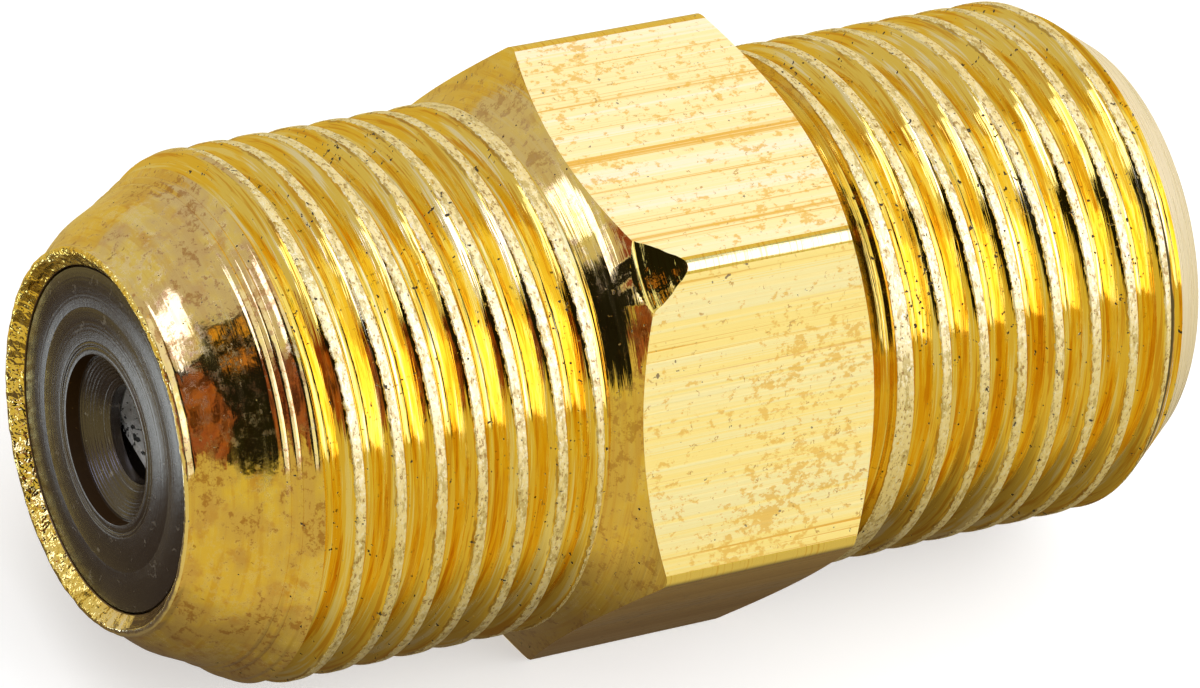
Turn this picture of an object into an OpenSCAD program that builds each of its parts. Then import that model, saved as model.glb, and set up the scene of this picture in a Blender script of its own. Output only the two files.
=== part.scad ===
// Threaded coaxial coupler, female to female, lying on one flat of its hexagon.
// The axis runs along X. The origin is on the axis, halfway between the two ends.
// Sizes are in millimetres. The helical grooves of the threads are not cut here:
// each threaded end is a plain cylinder at the crests.

/* [Thread] */
// Diameter over the crests of both threads
thread_d = 9.5; // [9.25:0.01:9.6]
// Diameter of the neck between each thread and the hexagon
neck_d = 9; // [8.5:0.05:9.2]
// Length of the neck
neck_len = 0.2; // [0.1:0.05:0.5]

/* [Hexagon] */
// Width across the flats
hex_af = 9.95; // [9.7:0.05:12]
// Width of the hexagon between the middles of its two ends
hex_len = 4.7; // [3:0.1:8]
// Angle of the turned chamfer from the end face of the hexagon
hex_chamfer_angle = 30; // [15:1:45]
// How far the chamfer runs in below the flats
chamfer_foot = 0.1; // [0.05:0.01:0.2]
// Angle of the turned shoulder from the axis
shoulder_angle = 45; // [30:1:60]

/* [Near end] */
// From the hexagon to the tip of the rolled rim
near_len = 8.1; // [6:0.05:14]
// Length of the tapered nose, from the tip of the rolled rim
nose_len = 2.45; // [1.5:0.05:2.8]
// How far the nose is hollowed below a straight taper
nose_hollow = 0.05; // [0.01:0.01:0.08]
// Thickness of the rim at its tip
rim_tip_t = 0.2; // [0.15:0.01:0.3]
// How far the rim's inside opens out from the mouth to the tip
rim_flare = 0.2; // [0.1:0.01:0.3]

/* [Far end] */
// From the hexagon to the far end face
far_len = 7.6; // [6:0.05:14]
// Length of the chamfer on the far end
far_chamfer_len = 1.15; // [0.5:0.05:1.5]
// Diameter of the far end face
far_end_d = 7.9; // [7.5:0.05:8.6]
// Chamfer at the mouth of the far end
far_mouth_chamfer = 0.15; // [0.05:0.01:0.3]

/* [Bore] */
// Diameter of the long bore that holds both insulators
bore_d = 6.8; // [6.6:0.05:7.2]
// Diameter of the mouth at both ends
mouth_d = 6.1; // [5.6:0.05:6.4]
// Length of the taper between the bore and each mouth
taper_len = 0.8; // [0.5:0.05:1.2]
// Depth of each insulator's face below the end of the shell
face_recess = 0.25; // [0.2:0.01:0.4]

/* [Insulators] */
// Clearance all round between an insulator and the bore
seat_fit = 0.02; // [0.01:0.01:0.05]
// Gap between the two insulators where they meet
insulator_gap = 0.1; // [0.05:0.01:0.3]
// Diameter of the counterbore in the face
counterbore_d = 3; // [2.4:0.05:3.6]
// Depth of the counterbore
counterbore_depth = 0.25; // [0.1:0.01:0.4]
// Depth of the cone between the counterbore and the wire hole
cone_depth = 0.3; // [0.15:0.01:0.5]
// Diameter of the wire hole
wire_hole_d = 1.77; // [1.4:0.01:2]
// Length of the wire hole's wall
wire_hole_len = 0.2; // [0.15:0.01:0.6]
// Diameter of the pocket that holds the contact
pocket_d = 3.1; // [2.9:0.05:3.6]

/* [Contact] */
// Thickness of the sheet that the contact is folded from
sheet_t = 0.2; // [0.15:0.01:0.22]
// Width of the folded contact
contact_w = 2.4; // [2.2:0.05:2.5]
// Height of the folded contact
contact_h = 1.5; // [1.3:0.05:1.6]
// Outer radius of the folds
fold_r = 0.35; // [0.3:0.01:0.45]
// Width of the seam where the sheet's edges meet
seam_w = 0.12; // [0.05:0.01:0.3]
// End play of the contact between the wire holes, at each end
contact_play = 0.12; // [0.05:0.01:0.3]
// Length of the closed mouth in front of each spring
contact_mouth_len = 0.3; // [0.25:0.05:0.6]
// Length of each spring
spring_len = 3.6; // [2.5:0.1:5]
// Width of each spring
spring_w = 1.3; // [1:0.05:1.4]
// Gap between a pair of springs at the throat
throat_gap = 0.45; // [0.3:0.01:0.6]
// Width of the slit on each side of a spring
slit_w = 0.08; // [0.05:0.01:0.1]

/* [Nick at one corner] */
// Angle of the nicked corner round the axis
nick_angle = 120; // [60:60:120]
// From the near end of the hexagon to the nick's far edge
nick_reach = 1.05; // [0.7:0.05:1.5]
// Length of the scooped surface
nick_len = 1.05; // [0.6:0.05:1.5]
// Slope of the nick from the axis
nick_slope = 31; // [20:1:45]
// Radius of the tool that left the nick
nick_tool_r = 6; // [4:0.5:12]

/* [Hidden] */
eps = 0.01;
run = 1;
arc_steps = 6;
nose_steps = 8;
spring_steps = 14;
thread_r = thread_d / 2;
neck_r = neck_d / 2;
flat_r = hex_af / 2;
corner_r = hex_af / sqrt(3);
total_len = near_len + hex_len + far_len;
near_end = -total_len / 2;
far_end = total_len / 2;
hex_near = near_end + near_len;
hex_far = hex_near + hex_len;
blank_r = corner_r + run;
foot_r = flat_r - chamfer_foot;
foot_len = chamfer_foot * tan(hex_chamfer_angle);
blank_len = (blank_r - flat_r) * tan(hex_chamfer_angle);
shoulder_len = foot_len + (foot_r - neck_r) / tan(shoulder_angle);
bore_r = bore_d / 2;
mouth_r = mouth_d / 2;
tip_r = rim_tip_t / 2;
tip = [mouth_r + rim_flare + tip_r, near_end + tip_r];
near_face = near_end + face_recess;
far_face = far_end - face_recess;
insulator_len = (far_face - near_face - insulator_gap) / 2;
land_start = counterbore_depth + cone_depth;
land_end = land_start + wire_hole_len;
contact_len = far_face - near_face - 2 * land_end - 2 * contact_play;

// Points on a circle from angle a0 to angle a1, in the plane of radius and length
function arc(centre, r, a0, a1, steps) =
    [for (i = [0:steps]) let (a = a0 + (a1 - a0) * i / steps) centre + r * [cos(a), sin(a)]];

// The nose's outline, a straight taper with a slight hollow
function nose(from, to, hollow, steps) =
    [for (i = [0:steps]) let (t = i / steps) from + t * (to - from) - [4 * hollow * t * (1 - t), 0]];

// A spring's height above the axis, along its length u from 0 to 1
function bow(u, wall_z, throat_z) = wall_z - (wall_z - throat_z) * pow(sin(180 * pow(u, 0.7)), 2);

// Turns an outline of [radius, length] points about the X axis
module turned(outline) {
    rotate([0, 90, 0]) rotate_extrude($fn = 96) polygon(outline);
}

// The turned outside, from the rolled rim to the far end
module turned_outside() {
    nose_start = tip + [tip_r, 0];
    nose_end = [thread_r, near_end + nose_len];
    turned(concat(
        [[0, near_end]],
        arc(tip, tip_r, -90, -30, arc_steps),
        nose(nose_start, nose_end, nose_hollow, nose_steps),
        [
            [thread_r, hex_near - shoulder_len - neck_len],
            [neck_r, hex_near - shoulder_len - neck_len],
            [neck_r, hex_near - shoulder_len],
            [foot_r, hex_near - foot_len],
            [foot_r, hex_far + foot_len],
            [neck_r, hex_far + shoulder_len],
            [neck_r, hex_far + shoulder_len + neck_len],
            [thread_r, hex_far + shoulder_len + neck_len],
            [thread_r, far_end - far_chamfer_len],
            [far_end_d / 2, far_end],
            [0, far_end]
        ]
    ));
}

// The hexagon, with both ends turned to a chamfer that runs in below the flats
module hexagon() {
    intersection() {
        translate([hex_near - foot_len, 0, 0]) rotate([0, 90, 0]) rotate([0, 0, 30])
            cylinder(h = hex_len + 2 * foot_len, r = corner_r, $fn = 6);
        turned([
            [0, hex_near - foot_len],
            [foot_r, hex_near - foot_len],
            [blank_r, hex_near + blank_len],
            [blank_r, hex_far - blank_len],
            [foot_r, hex_far + foot_len],
            [0, hex_far + foot_len]
        ]);
    }
}

// The bore, which narrows to a mouth at both ends
module bore() {
    turned(concat(
        [[0, near_end - run], [tip[0], near_end - run]],
        arc(tip, tip_r, -90, -180, arc_steps),
        [
            [mouth_r, near_face],
            [bore_r, near_face + taper_len],
            [bore_r, far_face - taper_len],
            [mouth_r, far_face],
            [mouth_r, far_end - far_mouth_chamfer],
            [mouth_r + far_mouth_chamfer, far_end],
            [mouth_r + far_mouth_chamfer, far_end + run],
            [0, far_end + run]
        ]
    ));
}

// The scoop that a slipped tool took out of one corner, beside the near chamfer
module corner_nick() {
    start = [hex_near + nick_reach, corner_r];
    middle = start - nick_len / 2 * [cos(nick_slope), sin(nick_slope)];
    rise = sqrt(pow(nick_tool_r, 2) - pow(nick_len / 2, 2));
    centre = middle + rise * [-sin(nick_slope), cos(nick_slope)];
    rotate([nick_angle - 90, 0, 0]) translate([centre[0], 0, centre[1]]) rotate([90, 0, 0])
        cylinder(h = hex_af, r = nick_tool_r, center = true, $fn = 96);
}

module shell() {
    color([0.83, 0.68, 0.29]) difference() {
        union() {
            turned_outside();
            hexagon();
        }
        bore();
        corner_nick();
    }
}

// An insulator whose face looks along -X, with the face at the origin
module insulator() {
    seat_r = bore_r - seat_fit;
    rotate([0, 90, 0]) rotate_extrude($fn = 96) polygon([
        [counterbore_d / 2, 0],
        [mouth_r - seat_fit, 0],
        [seat_r, taper_len],
        [seat_r, insulator_len],
        [pocket_d / 2, insulator_len],
        [pocket_d / 2, land_end],
        [wire_hole_d / 2, land_end],
        [wire_hole_d / 2, land_start],
        [counterbore_d / 2 - eps, counterbore_depth],
        [counterbore_d / 2, counterbore_depth]
    ]);
}

module near_insulator() {
    color([0.30, 0.26, 0.24]) translate([near_face, 0, 0]) insulator();
}

module far_insulator() {
    color([0.30, 0.26, 0.24]) translate([far_face, 0, 0]) mirror([1, 0, 0]) insulator();
}

// A rectangle with round corners, in the YZ plane once it is extruded along X
module round_rect(w, h, r) {
    union() {
        square([w - 2 * r, h], center = true);
        square([w, h - 2 * r], center = true);
        for (sy = [-1, 1], sz = [-1, 1])
            translate([sy * (w / 2 - r), sz * (h / 2 - r)]) circle(r = r, $fn = 48);
    }
}

// Extrudes a section in the YZ plane along X, centred on the origin
module along_x(length) {
    rotate([90, 0, 90]) linear_extrude(height = length, center = true) children();
}

// One spring, bowed in from the upper wall, with its front at the origin
module spring() {
    wall_z = contact_h / 2 - sheet_t / 2;
    throat_z = throat_gap / 2 + sheet_t / 2;
    line = [for (i = [0:spring_steps]) let (u = i / spring_steps) [u * spring_len, bow(u, wall_z, throat_z)]];
    upper = [for (p = line) p + [0, sheet_t / 2]];
    lower = [for (i = [len(line) - 1:-1:0]) line[i] - [0, sheet_t / 2]];
    rotate([90, 0, 0]) linear_extrude(height = spring_w, center = true) polygon(concat(upper, lower));
}

// The opening that a spring was pressed in from
module spring_window() {
    translate([spring_len / 2, 0, contact_h / 2])
        cube([spring_len, spring_w + 2 * slit_w, 3 * sheet_t], center = true);
}

// Places what follows at both ends of the contact, on both of its wide walls
module at_each_spring() {
    for (end = [0, 180], side = [0, 180])
        rotate([0, 0, end]) rotate([side, 0, 0])
            translate([-contact_len / 2 + contact_mouth_len, 0, 0]) children();
}

module contact() {
    color([0.78, 0.79, 0.80]) translate([(near_face + far_face) / 2, 0, 0]) union() {
        difference() {
            along_x(contact_len) round_rect(contact_w, contact_h, fold_r);
            along_x(contact_len + run) round_rect(contact_w - 2 * sheet_t, contact_h - 2 * sheet_t, fold_r - sheet_t);
            translate([0, -contact_w / 2, 0]) cube([contact_len + run, 3 * sheet_t, seam_w], center = true);
            at_each_spring() spring_window();
        }
        at_each_spring() spring();
    }
}

shell();
near_insulator();
far_insulator();
contact();
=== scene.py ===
"""Gold-plated threaded coaxial coupler, female to female, lying on one flat of its hexagon.

The axis runs along X. Every mesh is modelled in millimetres and is brought to metres when it is
finished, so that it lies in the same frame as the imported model.
"""
import logging
import math
from collections.abc import Callable, Iterator, Sequence
from contextlib import contextmanager
from dataclasses import dataclass, field
from enum import Enum

import bpy
from bpy.types import Material, Node, NodeSocket, NodeTree, Object, World
from mathutils import Matrix, Vector


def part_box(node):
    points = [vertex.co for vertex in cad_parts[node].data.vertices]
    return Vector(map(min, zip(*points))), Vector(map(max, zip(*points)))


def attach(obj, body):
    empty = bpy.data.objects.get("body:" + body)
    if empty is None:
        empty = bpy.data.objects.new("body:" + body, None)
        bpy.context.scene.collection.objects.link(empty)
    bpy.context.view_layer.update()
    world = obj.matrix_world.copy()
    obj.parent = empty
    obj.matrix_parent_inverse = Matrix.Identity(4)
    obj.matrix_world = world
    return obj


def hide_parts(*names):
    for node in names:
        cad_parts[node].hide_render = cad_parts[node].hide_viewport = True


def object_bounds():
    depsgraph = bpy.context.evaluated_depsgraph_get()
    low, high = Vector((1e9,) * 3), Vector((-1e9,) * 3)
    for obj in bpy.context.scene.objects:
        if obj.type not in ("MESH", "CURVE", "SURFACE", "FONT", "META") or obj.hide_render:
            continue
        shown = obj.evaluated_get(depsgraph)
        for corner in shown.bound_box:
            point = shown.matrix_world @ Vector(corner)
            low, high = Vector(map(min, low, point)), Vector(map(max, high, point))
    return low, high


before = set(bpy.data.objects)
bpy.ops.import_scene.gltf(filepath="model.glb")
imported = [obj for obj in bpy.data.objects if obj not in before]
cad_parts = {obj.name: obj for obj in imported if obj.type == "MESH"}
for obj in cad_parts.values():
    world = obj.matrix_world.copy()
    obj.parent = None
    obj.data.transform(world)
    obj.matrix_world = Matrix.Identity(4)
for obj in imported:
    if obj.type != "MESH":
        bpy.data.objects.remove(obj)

CAD_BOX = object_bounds()
MM = 0.001
FULL_TURN = 2 * math.pi
LATHE_STEPS = 192
Point = tuple[float, float]
Colour = tuple[float, float, float]
Rule = Callable[[Vector, Vector], int]

log = logging.getLogger("coupler")


# ---------------------------------------------------------------- modelling by hand

def deselect_all() -> None:
    """Leaves edit mode and deselects every object."""
    if bpy.context.object and bpy.context.object.mode != "OBJECT":
        bpy.ops.object.mode_set(mode="OBJECT")
    bpy.ops.object.select_all(action="DESELECT")


def activate(piece: Object) -> None:
    """Selects one object alone and makes it active."""
    deselect_all()
    piece.select_set(True)
    bpy.context.view_layer.objects.active = piece


@contextmanager
def edit_mode() -> Iterator[None]:
    """Works on the active mesh in edit mode, with all of it selected at first."""
    bpy.ops.object.mode_set(mode="EDIT")
    bpy.ops.mesh.select_mode(type="VERT")
    bpy.ops.mesh.select_all(action="SELECT")
    yield
    bpy.ops.object.mode_set(mode="OBJECT")


@contextmanager
def new_line(name: str, *start: float) -> Iterator[Object]:
    """Makes an object of a single vertex and keeps it in edit mode while the line is drawn.

    Args:
        name: The new object's name.
        *start: The vertex's place.

    Yields:
        The object.
    """
    deselect_all()
    bpy.ops.mesh.primitive_plane_add(size=0.1, location=start)
    bpy.context.object.name = name
    with edit_mode():
        bpy.ops.mesh.merge(type="CENTER")
        yield bpy.context.object


def extrude_by(*move: float) -> None:
    """Extrudes what is selected by a move along X, Y and Z."""
    bpy.ops.mesh.extrude_region_move(TRANSFORM_OT_translate={"value": move})


def draw_outline(name: str, points: Sequence[Point]) -> Object:
    """Draws a closed outline in the XY plane by extruding one vertex after another.

    Args:
        name: The new object's name.
        points: Places along the axis and away from it, in order.

    Returns:
        The object, which holds the outline's vertices and edges.
    """
    with new_line(name, *points[0], 0) as piece:
        for (x0, y0), (x1, y1) in zip(points, points[1:]):
            extrude_by(x1 - x0, y1 - y0, 0)
        bpy.ops.mesh.select_all(action="DESELECT")
    for end in (0, len(points) - 1):
        piece.data.vertices[end].select = True
    bpy.ops.object.mode_set(mode="EDIT")
    bpy.ops.mesh.edge_face_add()
    bpy.ops.object.mode_set(mode="OBJECT")
    bpy.ops.object.transform_apply()
    return piece


def close_and_turn_out(piece: Object) -> None:
    """Merges doubles, fills open ends and turns every face outwards."""
    activate(piece)
    with edit_mode():
        bpy.ops.mesh.remove_doubles(threshold=1e-4)
        bpy.ops.mesh.select_all(action="DESELECT")
        bpy.ops.mesh.select_non_manifold()
        bpy.ops.mesh.fill_holes(sides=0)
        bpy.ops.mesh.select_all(action="SELECT")
        bpy.ops.mesh.normals_make_consistent(inside=False)


def turn_on_lathe(piece: Object) -> None:
    """Spins a closed outline a full turn about the X axis and closes it."""
    activate(piece)
    with edit_mode():
        bpy.ops.mesh.spin(steps=LATHE_STEPS, angle=FULL_TURN, center=(0, 0, 0), axis=(1, 0, 0))
    close_and_turn_out(piece)


def apply_modifier(piece: Object, kind: str, **settings: object) -> None:
    """Adds a modifier with the given settings and applies it.

    Args:
        piece: The object to change.
        kind: The modifier's type.
        **settings: Its properties by name.
    """
    activate(piece)
    bpy.ops.object.modifier_add(type=kind)
    modifier = piece.modifiers[-1]
    for key, value in settings.items():
        setattr(modifier, key, value)
    bpy.ops.object.modifier_apply(modifier=modifier.name)


def combine(piece: Object, tool: Object, operation: str) -> None:
    """Cuts, joins or intersects a piece with a tool, and removes the tool.

    Args:
        piece: The object that stays.
        tool: The object that is used up.
        operation: DIFFERENCE, UNION or INTERSECT.
    """
    apply_modifier(piece, "BOOLEAN", object=tool, operation=operation, solver="EXACT",
                   material_mode="TRANSFER")
    bpy.data.objects.remove(tool)


def paint(piece: Object, finishes: Sequence[Material], rule: Rule | None = None) -> None:
    """Gives a piece its material slots, and each face the slot that a rule names.

    Args:
        piece: The object to paint.
        finishes: The materials, in the order of the rule's numbers.
        rule: From a face's centre and normal to a slot's number. Without it all faces take slot 0.
    """
    piece.data.materials.clear()
    for material in finishes:
        piece.data.materials.append(material)
    for face in piece.data.polygons:
        face.material_index = rule(face.center, face.normal) if rule else 0


def finish_piece(piece: Object, angle: float, *nodes: str) -> None:
    """Smooths a piece, brings it from millimetres to metres and seats it in the frame.

    Args:
        piece: The finished mesh, in millimetres.
        angle: Edges sharper than this, in degrees, stay sharp.
        *nodes: The CAD nodes that it stands for.
    """
    activate(piece)
    bpy.ops.object.shade_smooth_by_angle(angle=math.radians(angle))
    piece.scale = (MM, MM, MM)
    bpy.ops.object.transform_apply()
    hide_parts(*nodes)
    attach(piece, "root")


def off_axis(place: Vector) -> float:
    """Distance from the X axis."""
    return math.hypot(place.y, place.z)


def arc(centre: Point, radius: float, start: float, end: float, steps: int) -> list[Point]:
    """Points on a circle from one angle to another, in degrees."""
    angles = [math.radians(start + (end - start) * i / steps) for i in range(steps + 1)]
    return [(centre[0] + radius * math.cos(a), centre[1] + radius * math.sin(a)) for a in angles]


def ease_corners(points: Sequence[Point], size: float) -> list[Point]:
    """Rounds each corner of a closed outline.

    Args:
        points: The outline.
        size: How far from the corner the rounding starts, at most a third of an edge.

    Returns:
        The outline with three points in place of each real corner.
    """
    eased: list[Point] = []
    points = [p for p, last in zip(points, [points[-1], *points[:-1]]) if math.dist(p, last) > 1e-6]
    for before, here, after in zip([points[-1], *points[:-1]], points, [*points[1:], points[0]]):
        here_v, back, on = Vector(here), Vector(before) - Vector(here), Vector(after) - Vector(here)
        if back.angle(on) > math.radians(160):
            eased.append(here)
            continue
        start = here_v + back.normalized() * min(size, back.length / 3)
        end = here_v + on.normalized() * min(size, on.length / 3)
        middle = here_v * 0.5 + (start + end) * 0.25
        eased += [tuple(start), tuple(middle), tuple(end)]
    return eased


# ---------------------------------------------------------------- shared effects

class Effect(Enum):
    """The shader groups that several finishes share."""

    RADIUS = "radius"
    TURNED_LINES = "turned_lines"
    DRAWN_LINES = "drawn_lines"
    PITS = "plating_pits"
    TARNISH = "tarnish"
    HAIRS = "hair_marks"


@dataclass(frozen=True)
class Grain:
    """A noise in the metal: changes to the millimetre along and across the axis, and its detail."""

    along: float
    across: float
    detail: float = 3.0
    roughness: float = 0.6


@dataclass
class Wiring:
    """Adds nodes to one tree and links them."""

    tree: NodeTree

    @classmethod
    def bare(cls, owner: Material | World) -> "Wiring":
        """Empties a material's or a world's node tree and wires it."""
        owner.use_nodes = True
        owner.node_tree.nodes.clear()
        return cls(owner.node_tree)

    def add(self, kind: str, settings: dict[str, object] | None = None, **inputs: object) -> Node:
        """Adds a node.

        Args:
            kind: The node's type.
            settings: Its properties by name.
            **inputs: Values or sockets for its inputs, named with _ for a blank.

        Returns:
            The node.
        """
        node = self.tree.nodes.new(kind)
        for key, value in (settings or {}).items():
            setattr(node, key, value)
        return self.fill(node, **inputs)

    def fill(self, node: Node, *values: object, **inputs: object) -> Node:
        """Feeds a node's inputs, in order or named with _ for a blank, and returns the node."""
        for socket, value in zip(node.inputs, values):
            self.feed(socket, value)
        for key, value in inputs.items():
            self.feed(node.inputs[key.replace("_", " ")], value)
        return node

    def feed(self, socket: NodeSocket, value: object) -> None:
        """Links a socket to another, or sets its value."""
        if isinstance(value, NodeSocket):
            self.tree.links.new(value, socket)
        elif isinstance(value, (tuple, list)) and len(value) == 3 and socket.type == "RGBA":
            socket.default_value = (*value, 1.0)
        else:
            socket.default_value = value

    def sum(self, operation: str, *values: object, clamp: bool = False) -> NodeSocket:
        """Adds a Math node and returns its value."""
        node = self.add("ShaderNodeMath", {"operation": operation, "use_clamp": clamp})
        return self.fill(node, *values).outputs[0]

    def times(self, *values: object) -> NodeSocket:
        """Multiplies two values."""
        return self.sum("MULTIPLY", *values)

    def plus(self, *values: object, clamp: bool = False) -> NodeSocket:
        """Adds two values."""
        return self.sum("ADD", *values, clamp=clamp)

    def minus(self, *values: object, clamp: bool = False) -> NodeSocket:
        """Takes the second value from the first."""
        return self.sum("SUBTRACT", *values, clamp=clamp)

    def length(self, first: object, second: object) -> NodeSocket:
        """The length of a line that goes so far two ways."""
        return self.sum("SQRT", self.plus(self.times(first, first), self.times(second, second)))

    def split(self, place: object) -> Sequence[NodeSocket]:
        """Parts a place into X, Y and Z."""
        return self.add("ShaderNodeSeparateXYZ", None, Vector=place).outputs

    def own_place(self) -> NodeSocket:
        """The place in the object's own space."""
        return self.add("ShaderNodeTexCoord").outputs["Object"]

    def vector(self, operation: str, *values: object) -> NodeSocket:
        """Adds a Vector Math node and returns its vector."""
        return self.fill(self.add("ShaderNodeVectorMath", {"operation": operation}), *values).outputs[0]

    def blend(self, factor: object, first: object, second: object) -> NodeSocket:
        """Adds a colour Mix node and returns its colour."""
        node = self.add("ShaderNodeMix", {"data_type": "RGBA"})
        for place, value in ((0, factor), (6, first), (7, second)):
            self.feed(node.inputs[place], value)
        return node.outputs[2]

    def tint(self, colour: object, mask: object, share: float, second: object) -> NodeSocket:
        """Lays a second colour over a first by a share of a mask."""
        return self.blend(self.times(mask, share), colour, second)

    def ramp(self, value: object, low: object, high: object) -> NodeSocket:
        """Brings a value between two limits to 0 and 1, smoothly."""
        node = self.add("ShaderNodeMapRange", {"interpolation_type": "SMOOTHSTEP"})
        return self.fill(node, value, low, high).outputs[0]

    def stretch(self, vector: object, along: object, across: object) -> NodeSocket:
        """Scales a place by one value along the axis and another across it."""
        scale = self.add("ShaderNodeCombineXYZ", X=along, Y=across, Z=across).outputs[0]
        return self.vector("MULTIPLY", vector, scale)

    def noise(self, vector: object, detail: float, roughness: float) -> NodeSocket:
        """Adds a Noise node of scale 1 and returns its value."""
        return self.add("ShaderNodeTexNoise", None, Vector=vector, Scale=1.0, Detail=detail,
                        Roughness=roughness).outputs[0]

    def grain(self, place: object, grain: Grain) -> NodeSocket:
        """Adds a grain's noise and returns its value."""
        return self.noise(self.stretch(place, grain.along, grain.across), grain.detail, grain.roughness)

    def about_zero(self, noise: object, reach: float) -> NodeSocket:
        """Moves a noise's middle to 0 and multiplies it."""
        return self.times(self.minus(noise, 0.5), reach)

    def group(self, effect: Effect, **inputs: object) -> Node:
        """Places a shared effect with its own values."""
        return self.add("ShaderNodeGroup", {"node_tree": bpy.data.node_groups[effect.value]}, **inputs)

    def mask(self, effect: Effect, place: object, per_mm: float, share: float) -> NodeSocket:
        """Places a shared mask, with its marks to the millimetre and their share of the metal."""
        return self.group(effect, Place=place, Per_mm=per_mm, Share=share).outputs[0]

    def radius(self, place: object) -> NodeSocket:
        """Distance of a place from the axis."""
        return self.group(Effect.RADIUS, Place=place).outputs[0]

    def bump(self, height: object, distance: float) -> NodeSocket:
        """Turns a height into a normal, for a bump of so many millimetres."""
        return self.add("ShaderNodeBump", None, Strength=1.0, Distance=distance * MM,
                        Height=height).outputs[0]

    def seen(self) -> NodeSocket:
        """Gives 1 to rays from the camera, off the metal and through things, and 0 to the rest."""
        path = self.add("ShaderNodeLightPath").outputs
        seen = self.plus(path["Is Camera Ray"], path["Is Glossy Ray"], clamp=True)
        return self.plus(seen, path["Is Transmission Ray"], clamp=True)


@dataclass
class EffectShelf:
    """Builds every shared effect once."""

    def start(self, effect: Effect, inputs: dict[str, float],
              outputs: Sequence[str]) -> tuple[Wiring, dict[str, NodeSocket], dict[str, NodeSocket]]:
        """Makes an empty group that takes a place and some values.

        Args:
            effect: Which group.
            inputs: Names of the values that it takes, and the values without a link.
            outputs: Names of the values that it puts out.

        Returns:
            The wiring, and the sockets that give the inputs and take the outputs.
        """
        tree = bpy.data.node_groups.new(effect.value, "ShaderNodeTree")
        tree.interface.new_socket(name="Place", in_out="INPUT", socket_type="NodeSocketVector")
        for name, value in inputs.items():
            socket = tree.interface.new_socket(name=name, in_out="INPUT", socket_type="NodeSocketFloat")
            socket.default_value = value
        for name in outputs:
            tree.interface.new_socket(name=name, in_out="OUTPUT", socket_type="NodeSocketFloat")
        w = Wiring(tree)
        return w, w.add("NodeGroupInput").outputs, w.add("NodeGroupOutput").inputs

    def build(self) -> None:
        """Builds the groups."""
        self.radius()
        self.turned_lines()
        self.drawn_lines()
        self.pits()
        self.tarnish()
        self.hairs()

    def radius(self) -> None:
        """Distance from the axis."""
        w, given, out = self.start(Effect.RADIUS, {}, ("Radius",))
        _, y, z = w.split(given["Place"])
        w.feed(out["Radius"], w.length(y, z))

    def turned_lines(self) -> None:
        """Fine lines round the axis, as a lathe tool leaves them."""
        w, given, out = self.start(Effect.TURNED_LINES, {"Per mm": 20.0, "Across": 0.5},
                                   ("Height", "Lines", "Dark"))
        height = w.noise(w.stretch(given["Place"], given["Per mm"], given["Across"]), 3.0, 0.65)
        w.feed(out["Height"], height)
        w.feed(out["Lines"], w.ramp(height, 0.53, 0.62))
        w.feed(out["Dark"], w.ramp(height, 0.47, 0.38))

    def drawn_lines(self) -> None:
        """Long lines along the axis, as the die leaves them on drawn bar, in groups."""
        w, given, out = self.start(Effect.DRAWN_LINES, {"Per mm": 12.0, "Along": 0.04},
                                   ("Height", "Pale", "Dark"))
        height = w.noise(w.stretch(given["Place"], given["Along"], given["Per mm"]), 4.0, 0.75)
        groups = w.grain(given["Place"], Grain(0.03, 1.3, 1.0, 0.5))
        level = w.plus(height, w.about_zero(groups, 0.55))
        w.feed(out["Height"], height)
        w.feed(out["Pale"], w.ramp(level, 0.52, 0.64))
        w.feed(out["Dark"], w.ramp(level, 0.41, 0.34))

    def start_marks(self, effect: Effect, per_mm: float) -> tuple[Wiring, *tuple[NodeSocket, ...]]:
        """Starts a group that puts out one mask of marks.

        Args:
            effect: Which group.
            per_mm: Marks to the millimetre, without a link.

        Returns:
            The wiring, the place, the place at the marks' scale, the share and the mask's socket.
        """
        w, given, out = self.start(effect, {"Per mm": per_mm, "Share": 0.3}, ("Mask",))
        scaled = w.stretch(given["Place"], given["Per mm"], given["Per mm"])
        return w, given["Place"], scaled, given["Share"], out["Mask"]

    def pits(self) -> None:
        """Small ragged pits in the plating, in clusters."""
        w, place, scaled, share, mask = self.start_marks(Effect.PITS, 9.0)
        clusters = w.about_zero(w.grain(place, Grain(0.9, 0.9)), 0.35)
        low = w.minus(w.minus(0.86, w.times(share, 0.3)), clusters)
        w.feed(mask, w.ramp(w.noise(scaled, 2.0, 0.55), low, w.plus(low, 0.035)))

    def hairs(self) -> None:
        """Short crooked marks, as fibres and handling leave them."""
        w, _, scaled, share, mask = self.start_marks(Effect.HAIRS, 2.4)
        bent = w.add("ShaderNodeTexNoise", None, Vector=scaled, Scale=2.5, Detail=3.0)
        moved = w.vector("MULTIPLY_ADD", bent.outputs["Color"], (0.9, 0.9, 0.9), scaled)
        cells = w.add("ShaderNodeTexVoronoi", {"feature": "DISTANCE_TO_EDGE"}, Vector=moved, Scale=1.0)
        low = w.minus(0.72, w.times(share, 0.3))
        kept = w.ramp(w.grain(scaled, Grain(1.7, 1.7, 2.0, 0.5)), low, w.plus(low, 0.04))
        w.feed(mask, w.times(w.ramp(cells.outputs["Distance"], 0.035, 0.012), kept))

    def tarnish(self) -> None:
        """Soft blotches."""
        w, _, scaled, share, mask = self.start_marks(Effect.TARNISH, 0.7)
        low = w.minus(0.7, w.times(share, 0.35))
        w.feed(mask, w.ramp(w.noise(scaled, 5.0, 0.6), low, w.plus(low, 0.15)))


# ---------------------------------------------------------------- finishes

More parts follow.
